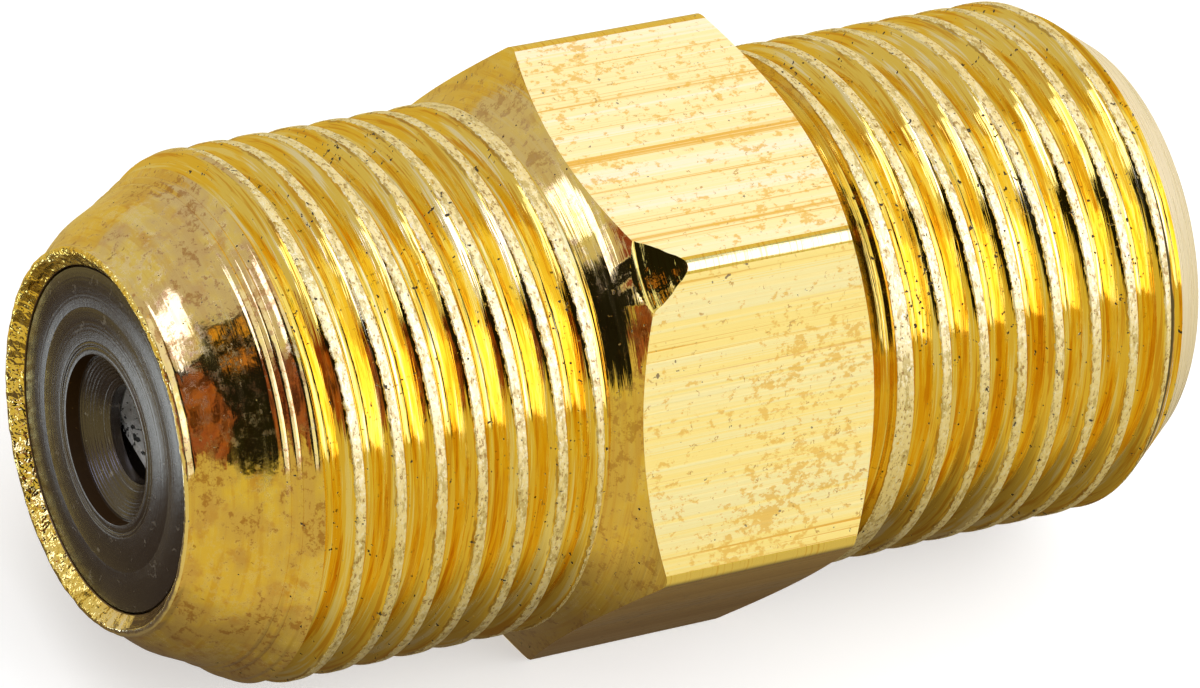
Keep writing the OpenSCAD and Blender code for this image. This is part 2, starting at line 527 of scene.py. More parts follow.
@dataclass(frozen=True)
class Finish:
    """A named material whose pattern space is millimetres."""

    name: str

    def start(self) -> tuple[Material, Wiring, Node, NodeSocket]:
        """Makes the material.

        Returns:
            The material, its wiring, its Principled shader and the place in millimetres.
        """
        material = bpy.data.materials.new(self.name)
        material.use_nodes = True
        w = Wiring(material.node_tree)
        place = w.add("ShaderNodeMapping", None, Scale=(1 / MM, 1 / MM, 1 / MM), Vector=w.own_place())
        return material, w, material.node_tree.nodes["Principled BSDF"], place.outputs[0]


@dataclass(frozen=True)
class GoldFinish(Finish):
    """Gold plating over turned brass: lines round the axis, pits, tarnish, and worn thread crests."""

    colour: Colour = (0.97, 0.77, 0.20)
    line_colour: Colour = (0.99, 0.88, 0.42)
    dark_colour: Colour = (0.80, 0.50, 0.07)
    tarnish_colour: Colour = (0.62, 0.36, 0.10)
    pit_colour: Colour = (0.05, 0.035, 0.02)
    # Pale colour of the painted highlight on the rim's -Y side.
    painted_highlight_colour: Colour = (0.99, 0.93, 0.72)
    painted_shade_border_colours: tuple[Colour, Colour] = ((0.75, 0.42, 0.05), (0.06, 0.04, 0.015))
    mottle_colours: tuple[Colour, ...] = (
        (0.78, 0.60, 0.32), (0.97, 0.86, 0.55), (0.46, 0.22, 0.05), (0.30, 0.15, 0.04))
    roughness: float = 0.06
    line_roughness: float = 0.14
    lines_per_mm: float = 16.0
    line_share: float = 0.5
    line_height: float = 0.0008
    pits_per_mm: float = 9.0
    pit_share: float = 0.25
    tarnish_share: float = 0.05
    lumps: float = 0.0
    mottle_share: float = 0.0
    # Paints a highlight on the -Y side and takes the bumps away there.
    smooth_painted_highlight_side: bool = False
    crest_radius: float = 0.0
    crest_colour: Colour = (0.95, 0.86, 0.48)
    crest_grey: Colour = (0.58, 0.48, 0.18)
    crest_bright: Colour = (1.0, 0.96, 0.72)
    crest_edge: Colour = (0.36, 0.20, 0.05)
    crest_roughness: float = 0.40
    crest_matt: float = 0.28
    metallic: float = 1.0
    # Radius of the painted shade ring at the far chamfer's border; 0 leaves it out.
    border_radius: float = 0.0

    def make(self) -> Material:
        """Builds the material."""
        material, w, shader, place = self.start()
        lines = w.group(Effect.TURNED_LINES, Place=place, Per_mm=self.lines_per_mm, Across=0.35).outputs
        pits = w.mask(Effect.PITS, place, self.pits_per_mm, self.pit_share)
        blotch = w.mask(Effect.TARNISH, place, 2.2, self.tarnish_share)
        colour = w.tint(self.colour, lines["Dark"], self.line_share, self.dark_colour)
        colour = w.tint(colour, lines["Lines"], self.line_share, self.line_colour)
        rougher = self.line_roughness - self.roughness
        rough = w.sum("MULTIPLY_ADD", lines["Lines"], rougher, self.roughness)
        height = lines["Height"]
        metallic = w.minus(self.metallic, w.times(pits, 0.8), clamp=True)
        if self.crest_radius:
            colour, rough, height, crest = self.worn_crest(w, place, colour, rough, height)
            metallic = w.minus(metallic, w.times(crest, self.crest_matt), clamp=True)
        # Painted shade: a ragged amber, then black, ring where the far chamfer meets the thread's groove
        # run-out.
        if self.border_radius:
            level = self.ragged_radius(w, place, Grain(3.0, 3.0), 0.12)
            for colour_here, (low, high) in zip(self.painted_shade_border_colours, ((0.15, 0.10), (0.08, 0.06))):
                edge = w.ramp(level, self.border_radius - low, self.border_radius - high)
                colour = w.blend(edge, colour, colour_here)
        colour = w.tint(colour, blotch, 0.6, self.tarnish_colour)
        if self.mottle_share:
            colour, rough = self.mottled(w, place, colour, rough)
        # Painted highlight: the -Y side is blended towards a pale colour, and its bumps are flattened.
        if self.smooth_painted_highlight_side:
            side = w.times(w.ramp(w.split(place)["Y"], -1.0, -2.6), 0.85)
            colour = w.blend(side, colour, self.painted_highlight_colour)
        colour = w.blend(pits, colour, self.pit_colour)
        height = w.minus(height, w.times(pits, 2.0))
        if self.lumps:
            height = w.plus(height, w.times(w.grain(place, Grain(2.6, 2.6, 3.0, 0.5)), self.lumps * 2))
        if self.smooth_painted_highlight_side:
            height = w.times(height, w.minus(1.0, side))
        w.fill(shader, Base_Color=colour, Roughness=w.plus(rough, w.times(pits, 0.4)), Metallic=metallic,
               Normal=w.bump(height, self.line_height * 10))
        return material

    def ragged_radius(self, w: Wiring, place: object, grain: Grain, reach: float) -> NodeSocket:
        """The distance from the axis, made ragged by a grain."""
        return w.plus(w.radius(place), w.about_zero(w.grain(place, grain), reach))

    def mottled(self, w: Wiring, place: object, colour: object,
                rough: object) -> tuple[NodeSocket, NodeSocket]:
        """Lays pale and brown mottling, hair marks and dull patches over a colour and a roughness."""
        fine = w.grain(place, Grain(6.0, 5.0, 6.0, 0.75))
        wide = w.grain(place, Grain(1.1, 0.8))
        spread = w.about_zero(wide, 0.35)
        pale = w.ramp(w.minus(fine, spread), 0.50, 0.62)
        brown = w.ramp(w.plus(fine, w.times(spread, 1.4)), 0.54, 0.64)
        hairs = w.mask(Effect.HAIRS, place, 1.7, 0.20)
        layers = ((w.ramp(wide, 0.38, 0.58), 0.7), (pale, 0.55), (brown, 0.75), (hairs, 0.6))
        for (mask, share), colour_here in zip(layers, self.mottle_colours):
            colour = w.tint(colour, mask, share * self.mottle_share, colour_here)
        return colour, w.plus(rough, w.times(pale, 0.16 * self.mottle_share))

    def worn_crest(self, w: Wiring, place: object, colour: object, rough: object,
                   height: object) -> tuple[NodeSocket, ...]:
        """Lays a speckled crest with ragged edges over a thread.

        Args:
            w: The material's wiring.
            place: The place in millimetres.
            colour: The thread's colour.
            rough: Its roughness.
            height: Its height.

        Returns:
            The colour, the roughness and the height with the crest, and the crest's mask.
        """
        level = self.ragged_radius(w, place, Grain(6.0, 6.0), 0.06)
        crest = w.ramp(level, self.crest_radius - 0.020, self.crest_radius - 0.008)
        lip = w.ramp(level, self.crest_radius - 0.048, self.crest_radius - 0.036)
        lip = w.times(lip, w.minus(1.0, crest))
        speckle = w.grain(place, Grain(16.0, 9.0, 3.0, 0.7))
        grey = w.ramp(w.grain(place, Grain(8.0, 3.0)), 0.50, 0.60)
        metal = w.tint(self.crest_colour, grey, 0.7, self.crest_grey)
        metal = w.blend(w.ramp(speckle, 0.55, 0.61), metal, self.crest_bright)
        metal = w.tint(metal, w.ramp(speckle, 0.43, 0.37), 0.8, self.crest_edge)
        worn = w.ramp(w.grain(place, Grain(5.0, 1.2)), 0.48, 0.60)
        colour = w.tint(w.blend(crest, colour, metal), w.times(lip, worn), 0.6, self.crest_edge)
        rough = w.plus(rough, w.times(crest, self.crest_roughness - self.roughness))
        return colour, rough, w.plus(height, w.times(w.times(crest, speckle), 1.6)), crest


@dataclass(frozen=True)
class DrawnFinish(Finish):
    """Gold plating over drawn bar: long die lines, mottling, hair marks and pits."""

    # These defaults are painted paler than the front flat's, as painted light on the upper flats.
    colour: Colour = (0.99, 0.88, 0.48)
    pale_colour: Colour = (1.0, 0.98, 0.84)
    dark_colour: Colour = (0.80, 0.47, 0.07)
    mottle_colour: Colour = (0.82, 0.50, 0.08)
    hair_colour: Colour = (0.55, 0.30, 0.06)
    pit_colour: Colour = (0.16, 0.10, 0.06)
    roughness: float = 0.42
    metallic: float = 0.45
    line_height: float = 0.006

    def make(self) -> Material:
        """Builds the material."""
        material, w, shader, place = self.start()
        fine = w.group(Effect.DRAWN_LINES, Place=place, Per_mm=11.0, Along=0.04).outputs
        wide = w.group(Effect.DRAWN_LINES, Place=place, Per_mm=2.6, Along=0.015).outputs
        patches = w.about_zero(w.grain(place, Grain(0.45, 0.6, 2.0, 0.5)), 0.4)
        spots = w.ramp(w.plus(w.grain(place, Grain(4.6, 6.5, 6.0, 0.7)), patches), 0.55, 0.62)
        pits = w.mask(Effect.PITS, place, 8.0, 0.42)
        hairs = w.mask(Effect.HAIRS, place, 3.2, 0.36)
        colour = self.colour
        for mask, share, colour_here in (
                (fine["Pale"], 0.75, self.pale_colour), (fine["Dark"], 0.95, self.dark_colour),
                (wide["Pale"], 0.45, self.pale_colour), (wide["Dark"], 0.35, self.dark_colour),
                (spots, 0.75, self.mottle_colour), (hairs, 0.8, self.hair_colour),
                (pits, 0.85, self.pit_colour)):
            colour = w.tint(colour, mask, share, colour_here)
        w.fill(shader, Base_Color=colour, Roughness=w.plus(self.roughness, w.times(fine["Pale"], -0.12)),
               Metallic=w.minus(self.metallic, w.times(pits, 0.3)),
               Normal=w.bump(w.minus(fine["Height"], w.times(pits, 0.8)), self.line_height))
        return material


@dataclass(frozen=True)
class PlasticFinish(Finish):
    """Dark moulded plastic with faint turned rings and dust."""

    colour: Colour = (0.040, 0.028, 0.020)
    worn_colour: Colour = (0.066, 0.050, 0.038)
    dust_colour: Colour = (0.30, 0.27, 0.22)
    roughness: float = 0.24
    shine: float = 1.0
    rings_per_mm: float = 14.0
    ring_height: float = 0.006

    def make(self) -> Material:
        """Builds the material."""
        material, w, shader, place = self.start()
        outwards = w.add("ShaderNodeCombineXYZ", X=w.times(w.radius(place), self.rings_per_mm))
        rings = w.noise(outwards.outputs[0], 3.0, 0.6)
        colour = w.tint(self.colour, w.mask(Effect.TARNISH, place, 1.1, 0.5), 0.6, self.worn_colour)
        colour = w.tint(colour, w.mask(Effect.HAIRS, place, 1.6, 0.40), 0.5, self.dust_colour)
        colour = w.tint(colour, w.mask(Effect.PITS, place, 9.0, 0.42), 0.8, self.dust_colour)
        height = w.plus(rings, w.times(w.grain(place, Grain(9.0, 9.0)), 0.6))
        w.fill(shader, Base_Color=colour, Roughness=w.plus(self.roughness, w.about_zero(rings, 0.2)),
               Specular_IOR_Level=self.shine, Normal=w.bump(height, self.ring_height))
        return material


@dataclass(frozen=True)
class TinFinish(Finish):
    """Tinned sheet, grey and lightly pitted."""

    colour: Colour = (0.92, 0.92, 0.90)
    dull_colour: Colour = (0.40, 0.38, 0.35)
    pit_colour: Colour = (0.05, 0.05, 0.05)
    roughness: float = 0.22
    metallic: float = 0.3
    grain_height: float = 0.02

    def make(self) -> Material:
        """Builds the material."""
        material, w, shader, place = self.start()
        blotch = w.mask(Effect.TARNISH, place, 2.4, 0.55)
        pits = w.mask(Effect.PITS, place, 7.0, 0.9)
        colour = w.blend(pits, w.tint(self.colour, blotch, 0.7, self.dull_colour), self.pit_colour)
        w.fill(shader, Base_Color=colour, Roughness=w.sum("MULTIPLY_ADD", blotch, 0.25, self.roughness),
               Metallic=w.minus(self.metallic, w.times(pits, 0.3)),
               Normal=w.bump(w.grain(place, Grain(6.0, 10.0)), self.grain_height))
        return material


# ---------------------------------------------------------------- the coupler's pieces

@dataclass
class ShellSizes:
    """The shell's sizes in millimetres, in the names of the solid's source."""

    near_end: float
    far_end: float
    flat_r: float
    corner_r: float
    thread_r: float = 4.75
    neck_r: float = 4.5
    neck_len: float = 0.2
    near_len: float = 8.1
    hex_len: float = 4.7
    chamfer_foot: float = 0.1
    hex_chamfer_angle: float = 30.0
    rim_tip_t: float = 0.2
    rim_flare: float = 0.2
    nose_len: float = 2.45
    far_chamfer_len: float = 1.15
    far_end_r: float = 3.95
    far_mouth_chamfer: float = 0.15
    bore_r: float = 3.4
    mouth_r: float = 3.05
    taper_len: float = 0.8
    face_recess: float = 0.25
    pitch: float = 25.4 / 32
    root_r: float = 4.36
    root_flat: float = 0.12
    flank_angle: float = 30.0
    crest_ease: float = 0.09
    groove_steps: int = 96
    corner_ease: float = 0.03
    edge_ease: float = 0.18
    dent_reach: float = 0.5
    dent_size: float = 0.28
    dent_depth: float = 0.05
    near_crest: float = -7.712
    far_crest: float = 4.106
    crest_angle: float = 80.0
    run_out_steps: int = 30
    run_out_rise: float = 0.5
    nick_angle: float = 120.0
    nick_reach: float = 1.05
    nick_len: float = 1.05
    nick_slope: float = 31.0
    nick_tool_r: float = 6.0
    nick_across_r: float = 2.1
    nick_half: float = 1.5
    nick_steps: int = 16
    nick_line_steps: int = 96
    nick_tool_top: float = 2.0
    chatter_depth: float = 0.015

    @property
    def hex_near(self) -> float:
        """Where the hexagon's near end meets its flats."""
        return self.near_end + self.near_len

    @property
    def hex_far(self) -> float:
        """Where the hexagon's far end meets its flats."""
        return self.hex_near + self.hex_len

    @property
    def foot_r(self) -> float:
        """Radius at which the hexagon's chamfer meets the shoulder."""
        return self.flat_r - self.chamfer_foot

    @property
    def foot_len(self) -> float:
        """Length of the chamfer below the flats."""
        return self.chamfer_foot * math.tan(math.radians(self.hex_chamfer_angle))

    @property
    def shoulder_len(self) -> float:
        """From the flats to the neck, along the axis."""
        return self.foot_len + self.foot_r - self.neck_r


@dataclass
class Shell:
    """The plated brass shell: rolled nose, two threads, hexagon and bore."""

    sizes: ShellSizes
    finishes: dict[str, Material]
    nose_line: tuple[Point, ...] = (
        (0.20, 3.45), (0.26, 3.50), (0.42, 3.635), (0.58, 3.765), (0.72, 3.87), (0.86, 3.945),
        (1.15, 4.075), (1.44, 4.205), (1.48, 4.255), (1.58, 4.275), (1.60, 4.265), (1.66, 4.35),
        (1.76, 4.37), (1.78, 4.36), (1.84, 4.44), (1.92, 4.53), (2.02, 4.55), (2.05, 4.59),
        (2.25, 4.69), (2.44, 4.74), (2.56, 4.75))

    def build(self) -> Object:
        """Turns, mills, threads and nicks the shell.

        Returns:
            The finished piece.
        """
        body = self.turned_body()
        combine(body, self.hexagon(), "UNION")
        s = self.sizes
        groove, neck = s.pitch / 2, s.shoulder_len + 0.36
        for name, crest, start, end, rising in (
                ("near_groove", s.near_crest, s.near_end + 1.0, s.hex_near - neck, s.hex_near - neck),
                ("far_groove", s.far_crest, s.hex_far + neck, s.far_end - 0.2, s.hex_far + neck)):
            combine(body, self.thread_groove(name, crest + groove, start, end, rising), "DIFFERENCE")
        combine(body, self.nick(), "DIFFERENCE")
        close_and_turn_out(body)
        finish_piece(body, 28, "shell")
        body.name = "gold_shell"
        return body

    def turned_body(self) -> Object:
        """The body of revolution with its bore, rim dents and finishes."""
        s = self.sizes
        tip_r = s.rim_tip_t / 2
        near_face, far_face = s.near_end + s.face_recess, s.far_end - s.face_recess
        near_foot, far_foot = s.hex_near - s.foot_len, s.hex_far + s.foot_len
        near_neck, far_neck = s.hex_near - s.shoulder_len, s.hex_far + s.shoulder_len
        hard = [
            (near_neck - s.neck_len, s.thread_r), (near_neck - s.neck_len, s.neck_r),
            (near_neck, s.neck_r), (near_foot, s.foot_r), (far_foot, s.foot_r), (far_neck, s.neck_r),
            (far_neck + s.neck_len, s.neck_r), (far_neck + s.neck_len, s.thread_r),
            (s.far_end - s.far_chamfer_len, s.thread_r), (s.far_end, s.far_end_r),
            (s.far_end, s.mouth_r + s.far_mouth_chamfer), (s.far_end - s.far_mouth_chamfer, s.mouth_r),
            (far_face, s.mouth_r), (far_face - s.taper_len, s.bore_r),
            (near_face + s.taper_len, s.bore_r), (near_face, s.mouth_r)]
        tip = arc((s.near_end + tip_r, s.mouth_r + s.rim_flare + tip_r), tip_r, 250, 95, 9)
        nose = [(s.near_end + x, r) for x, r in self.nose_line]
        body = draw_outline("turned_body", ease_corners([*tip, *nose, *hard], s.corner_ease))
        turn_on_lathe(body)
        self.roughen_rim(body)
        names = list(self.finishes)
        paint(body, list(self.finishes.values()), lambda c, n: names.index(self.finish_at(c, n)))
        return body

    def finish_at(self, centre: Vector, normal: Vector) -> str:
        """Names the finish of the turned body at a place."""
        s = self.sizes
        radius = off_axis(centre)
        outward = normal.y * centre.y + normal.z * centre.z
        depth = centre.x - s.near_end
        if depth < (s.face_recess + 0.05 if outward < 0 else 0.07):
            # Painted shade: the rim's inner face takes the dark recess finish, from nearer the mouth on
            # the -Y side, as shade between the rim and the insulator.
            inner = outward < 0 and depth > (0.19 if centre.y > -2.3 else 0.06)
            return "recess" if inner else "rim"
        if outward < -0.1 * radius or radius < s.mouth_r + 0.01:
            return "bore"
        if centre.x < s.near_end + s.nose_len:
            return "nose"
        if centre.x > s.far_end - s.far_chamfer_len:
            return "far_chamfer"
        if s.hex_near - s.shoulder_len < centre.x < s.hex_far + s.shoulder_len and abs(normal.x) > 0.2:
            return "shoulder"
        return "thread"

    def roughen_rim(self, body: Object) -> None:
        """Dents the rolled rim a little, inwards only."""
        s = self.sizes
        lumps = bpy.data.textures.new("rim_lumps", "CLOUDS")
        lumps.noise_scale, lumps.noise_depth = s.dent_size, 2
        rim = body.vertex_groups.new(name="rim")
        for vertex in body.data.vertices:
            depth = vertex.co.x - s.near_end
            if depth < s.dent_reach and off_axis(vertex.co) > s.mouth_r - 0.01:
                rim.add([vertex.index], max(0.0, 1 - depth / s.dent_reach), "REPLACE")
        apply_modifier(body, "DISPLACE", texture=lumps, vertex_group="rim", strength=s.dent_depth,
                       mid_level=1.0, texture_coords="LOCAL")

    def hexagon(self) -> Object:
        """The hexagon with eased corners, chamfered by turning."""
        s = self.sizes
        slope = math.tan(math.radians(s.hex_chamfer_angle))
        under, over = 0.02, s.corner_r + 0.5  # below the chamfer's foot, and well outside the corners
        low, high = s.foot_r - under, over - s.foot_r
        near_foot, far_foot = s.hex_near - s.foot_len, s.hex_far + s.foot_len
        inside = s.bore_r + 0.5
        deselect_all()
        bpy.ops.mesh.primitive_cylinder_add(vertices=6, radius=s.corner_r, depth=s.hex_len + 1.0,
                                            location=((s.hex_near + s.hex_far) / 2, 0, 0),
                                            rotation=(0, math.pi / 2, 0))
        prism = bpy.context.object
        prism.name = "hexagon"
        bpy.ops.object.transform_apply()
        with edit_mode():
            bpy.ops.mesh.select_all(action="DESELECT")
        for edge in prism.data.edges:
            a, b = (prism.data.vertices[i].co for i in edge.vertices)
            edge.select = abs(a.x - b.x) > 1
        bpy.ops.object.mode_set(mode="EDIT")
        bpy.ops.mesh.select_mode(type="EDGE")
        bpy.ops.mesh.bevel(offset=s.edge_ease, segments=5, affect="EDGES")
        bpy.ops.object.mode_set(mode="OBJECT")
        # The flats take copies of one drawn finish by the way they face: painted light on the upper
        # flats, painted shade on the flats below.
        sides = [self.finishes[name] for name in ("flat", "corner", "under", "front")]
        paint(prism, sides, self.hexagon_part)
        near_low, far_low = near_foot - under * slope, far_foot + under * slope
        cone = draw_outline("chamfer_cone", [
            (near_low, low), (near_foot + high * slope, over), (far_foot - high * slope, over),
            (far_low, low), (far_low, inside), (near_low, inside)])
        turn_on_lathe(cone)
        paint(cone, [self.finishes["shoulder"]])
        combine(prism, cone, "INTERSECT")
        return prism

    def hexagon_part(self, centre: Vector, normal: Vector) -> int:
        """Tells a flat, 0, which takes the copy painted paler as painted light, an eased corner, 1, a
        flat that faces down, 2, which takes the copy painted darker as painted shade, and the front flat,
        3.
        """
        around = math.degrees(math.atan2(normal.z, normal.y)) + 30
        if abs(around - 60 * round(around / 60)) > 1:
            return 1
        if normal.z < -0.1:
            return 2
        return 3 if normal.y < -0.5 else 0

    def thread_groove(self, name: str, passing: float, start: float, end: float,
                      rising: float) -> Object:
        """A helical cutter for one right-hand thread, which rises out of the metal at one end.

        Args:
            name: The cutter's name.
            passing: A place on the axis where the groove's middle passes the crest angle.
            start: Where the groove's middle starts.
            end: Where it ends.
            rising: The end at which the tool is drawn back, start or end.

        Returns:
            The cutter, open towards the outside.
        """
        s = self.sizes
        slope = math.tan(math.radians(s.flank_angle))
        low, shoulder, top = s.root_flat / 2, s.thread_r - 0.03, s.thread_r + 0.002
        edge = low + (shoulder - s.root_r) * slope
        ease_r = s.thread_r - s.crest_ease * 0.74
        eased = low + (ease_r - s.root_r) * slope
        foot = [(low - 0.02, s.root_r), (low + 0.005, s.root_r + 0.012)]
        right = [*foot, (eased, ease_r), (eased + s.crest_ease * 0.55, s.thread_r - s.crest_ease * 0.26),
                 (eased + s.crest_ease, top), (eased + s.crest_ease, top + 0.4)]
        left = [*foot, (edge, shoulder), (edge + 0.028, top), (edge + 0.03, top + 0.4)]
        section = [(start + x, r) for x, r in right] + [(start - x, r) for x, r in reversed(left)]
        cutter = draw_outline(name, section)
        turns = (end - start) / s.pitch
        steps = round(s.groove_steps * turns)
        apply_modifier(cutter, "SCREW", axis="X", angle=FULL_TURN * turns, screw_offset=end - start,
                       iterations=1, steps=steps, render_steps=steps, use_merge_vertices=False)
        for vertex in cutter.data.vertices:
            step = vertex.index // len(section)
            from_end = step if rising == start else steps - step
            lift = s.run_out_rise * max(0.0, 1 - from_end / s.run_out_steps) ** 2
            radius = off_axis(vertex.co)
            vertex.co.y *= (radius + lift) / radius
            vertex.co.z *= (radius + lift) / radius
        cutter.rotation_euler.x = math.radians(s.crest_angle) + FULL_TURN * (start - passing) / s.pitch
        bpy.ops.object.transform_apply()
        close_and_turn_out(cutter)
        paint(cutter, [self.finishes["thread"]])
        return cutter

    def nick(self) -> Object:
        """The scoop out of one corner, whose tool chattered."""
        s = self.sizes
        slope = math.radians(s.nick_slope)
        start = Vector((s.hex_near + s.nick_reach, s.corner_r))
        middle = start - s.nick_len / 2 * Vector((math.cos(slope), math.sin(slope)))
        rise = math.sqrt(s.nick_tool_r ** 2 - (s.nick_len / 2) ** 2)
        centre = middle + rise * Vector((-math.sin(slope), math.cos(slope)))
        span = math.degrees(s.nick_len / s.nick_tool_r)
        aim = math.degrees(math.atan2(middle.y - centre.y, middle.x - centre.x))
        line: list[Point] = []
        steps = s.nick_line_steps
        for i in range(steps + 1):
            t = i / steps * 2 - 0.5
            depth = s.chatter_depth * (0.5 + 0.5 * math.sin(11.0 * t + 0.6))
            scallop = depth * abs(math.sin(math.pi * (t * 5.0 + 0.35 * math.sin(4.0 * t)) + 0.4))
            angle = math.radians(aim + span * (t - 0.5))
            reach = s.nick_tool_r - scallop
            line.append((centre.x + reach * math.cos(angle), centre.y + reach * math.sin(angle)))
        (x0, y0), (x1, y1) = line[0], line[-1]
        scoop = draw_outline("nick", [*line, (x1, y1 + s.nick_tool_top), (x0, y0 + s.nick_tool_top)])
        with edit_mode():
            bpy.ops.mesh.edge_face_add()
            for _ in range(s.nick_steps):
                extrude_by(0, 0, 2 * s.nick_half / s.nick_steps)
        for vertex in scoop.data.vertices:
            vertex.co.z -= s.nick_half
            vertex.co.y += vertex.co.z ** 2 / (2 * s.nick_across_r)
        scoop.rotation_euler.x = math.radians(s.nick_angle)
        bpy.ops.object.transform_apply()
        close_and_turn_out(scoop)
        paint(scoop, [self.finishes["nick"]])
        return scoop


@dataclass
class Insulator:
    """One of the two moulded insulators that hold the contact."""

    node: str
    face_x: float
    back_x: float
    finish: Material
    shaded_wall_finish: Material
    mouth_r: float = 3.03
    seat_r: float = 3.38
    taper_len: float = 0.8
    counterbore_r: float = 1.5
    counterbore_depth: float = 0.25
    cone_depth: float = 0.3
    hole_r: float = 0.885
    hole_len: float = 0.2
    pocket_r: float = 1.55
    corner_ease: float = 0.02
    ring_places: tuple[float, ...] = (0.0, 0.09, 0.2, 0.27, 0.4, 0.48, 0.6, 0.74, 0.82, 0.93)
    face_line: tuple[Point, ...] = (
        (0.0, 1.60), (0.02, 1.62), (0.02, 1.65), (0.0, 1.67), (0.0, 1.70), (0.012, 1.715),
        (0.0, 1.73), (0.0, 2.30), (0.008, 2.33), (0.0, 2.36))

    def build(self) -> Object:
        """Turns the insulator.

        Returns:
            The finished piece.
        """
        length = abs(self.back_x - self.face_x)
        side = 1 if self.back_x > self.face_x else -1
        land = self.counterbore_depth + self.cone_depth
        hole_end = land + self.hole_len
        cone_r = self.counterbore_r - 0.06
        rings = []
        for part in self.ring_places:
            x, r = self.counterbore_depth + self.cone_depth * part, cone_r - (cone_r - self.hole_r) * part
            rings += [(x, r), (x + 0.012, r - 0.008)]
        line = [
            (0.0, self.mouth_r), (self.taper_len, self.seat_r), (length, self.seat_r),
            (length, self.pocket_r), (hole_end, self.pocket_r), (hole_end, self.hole_r),
            (land, self.hole_r), *reversed(rings), (self.counterbore_depth, self.counterbore_r - 0.01),
            (0.0, self.counterbore_r), *self.face_line]
        outline = [(self.face_x + side * x, r) for x, r in line]
        piece = draw_outline(f"{self.node}_piece", ease_corners(outline, self.corner_ease))
        turn_on_lathe(piece)
        paint(piece, [self.finish, self.shaded_wall_finish], self.part)
        finish_piece(piece, 35, self.node)
        return piece

    def part(self, centre: Vector, normal: Vector) -> int:
        """Tells the counterbore's wall, 1, which takes the darker plastic as painted shade, from the
        rest, 0.
        """
        on_wall = self.counterbore_r - 0.05 < off_axis(centre) < self.counterbore_r + 0.02
        return int(on_wall and abs(normal.x) < 0.5)


# ---------------------------------------------------------------- studio

WHITE: Colour = (1.0, 1.0, 1.0)
BLACK: Colour = (0.012, 0.011, 0.006)
WINDOW: Colour = (2.4, 2.5, 4.0)


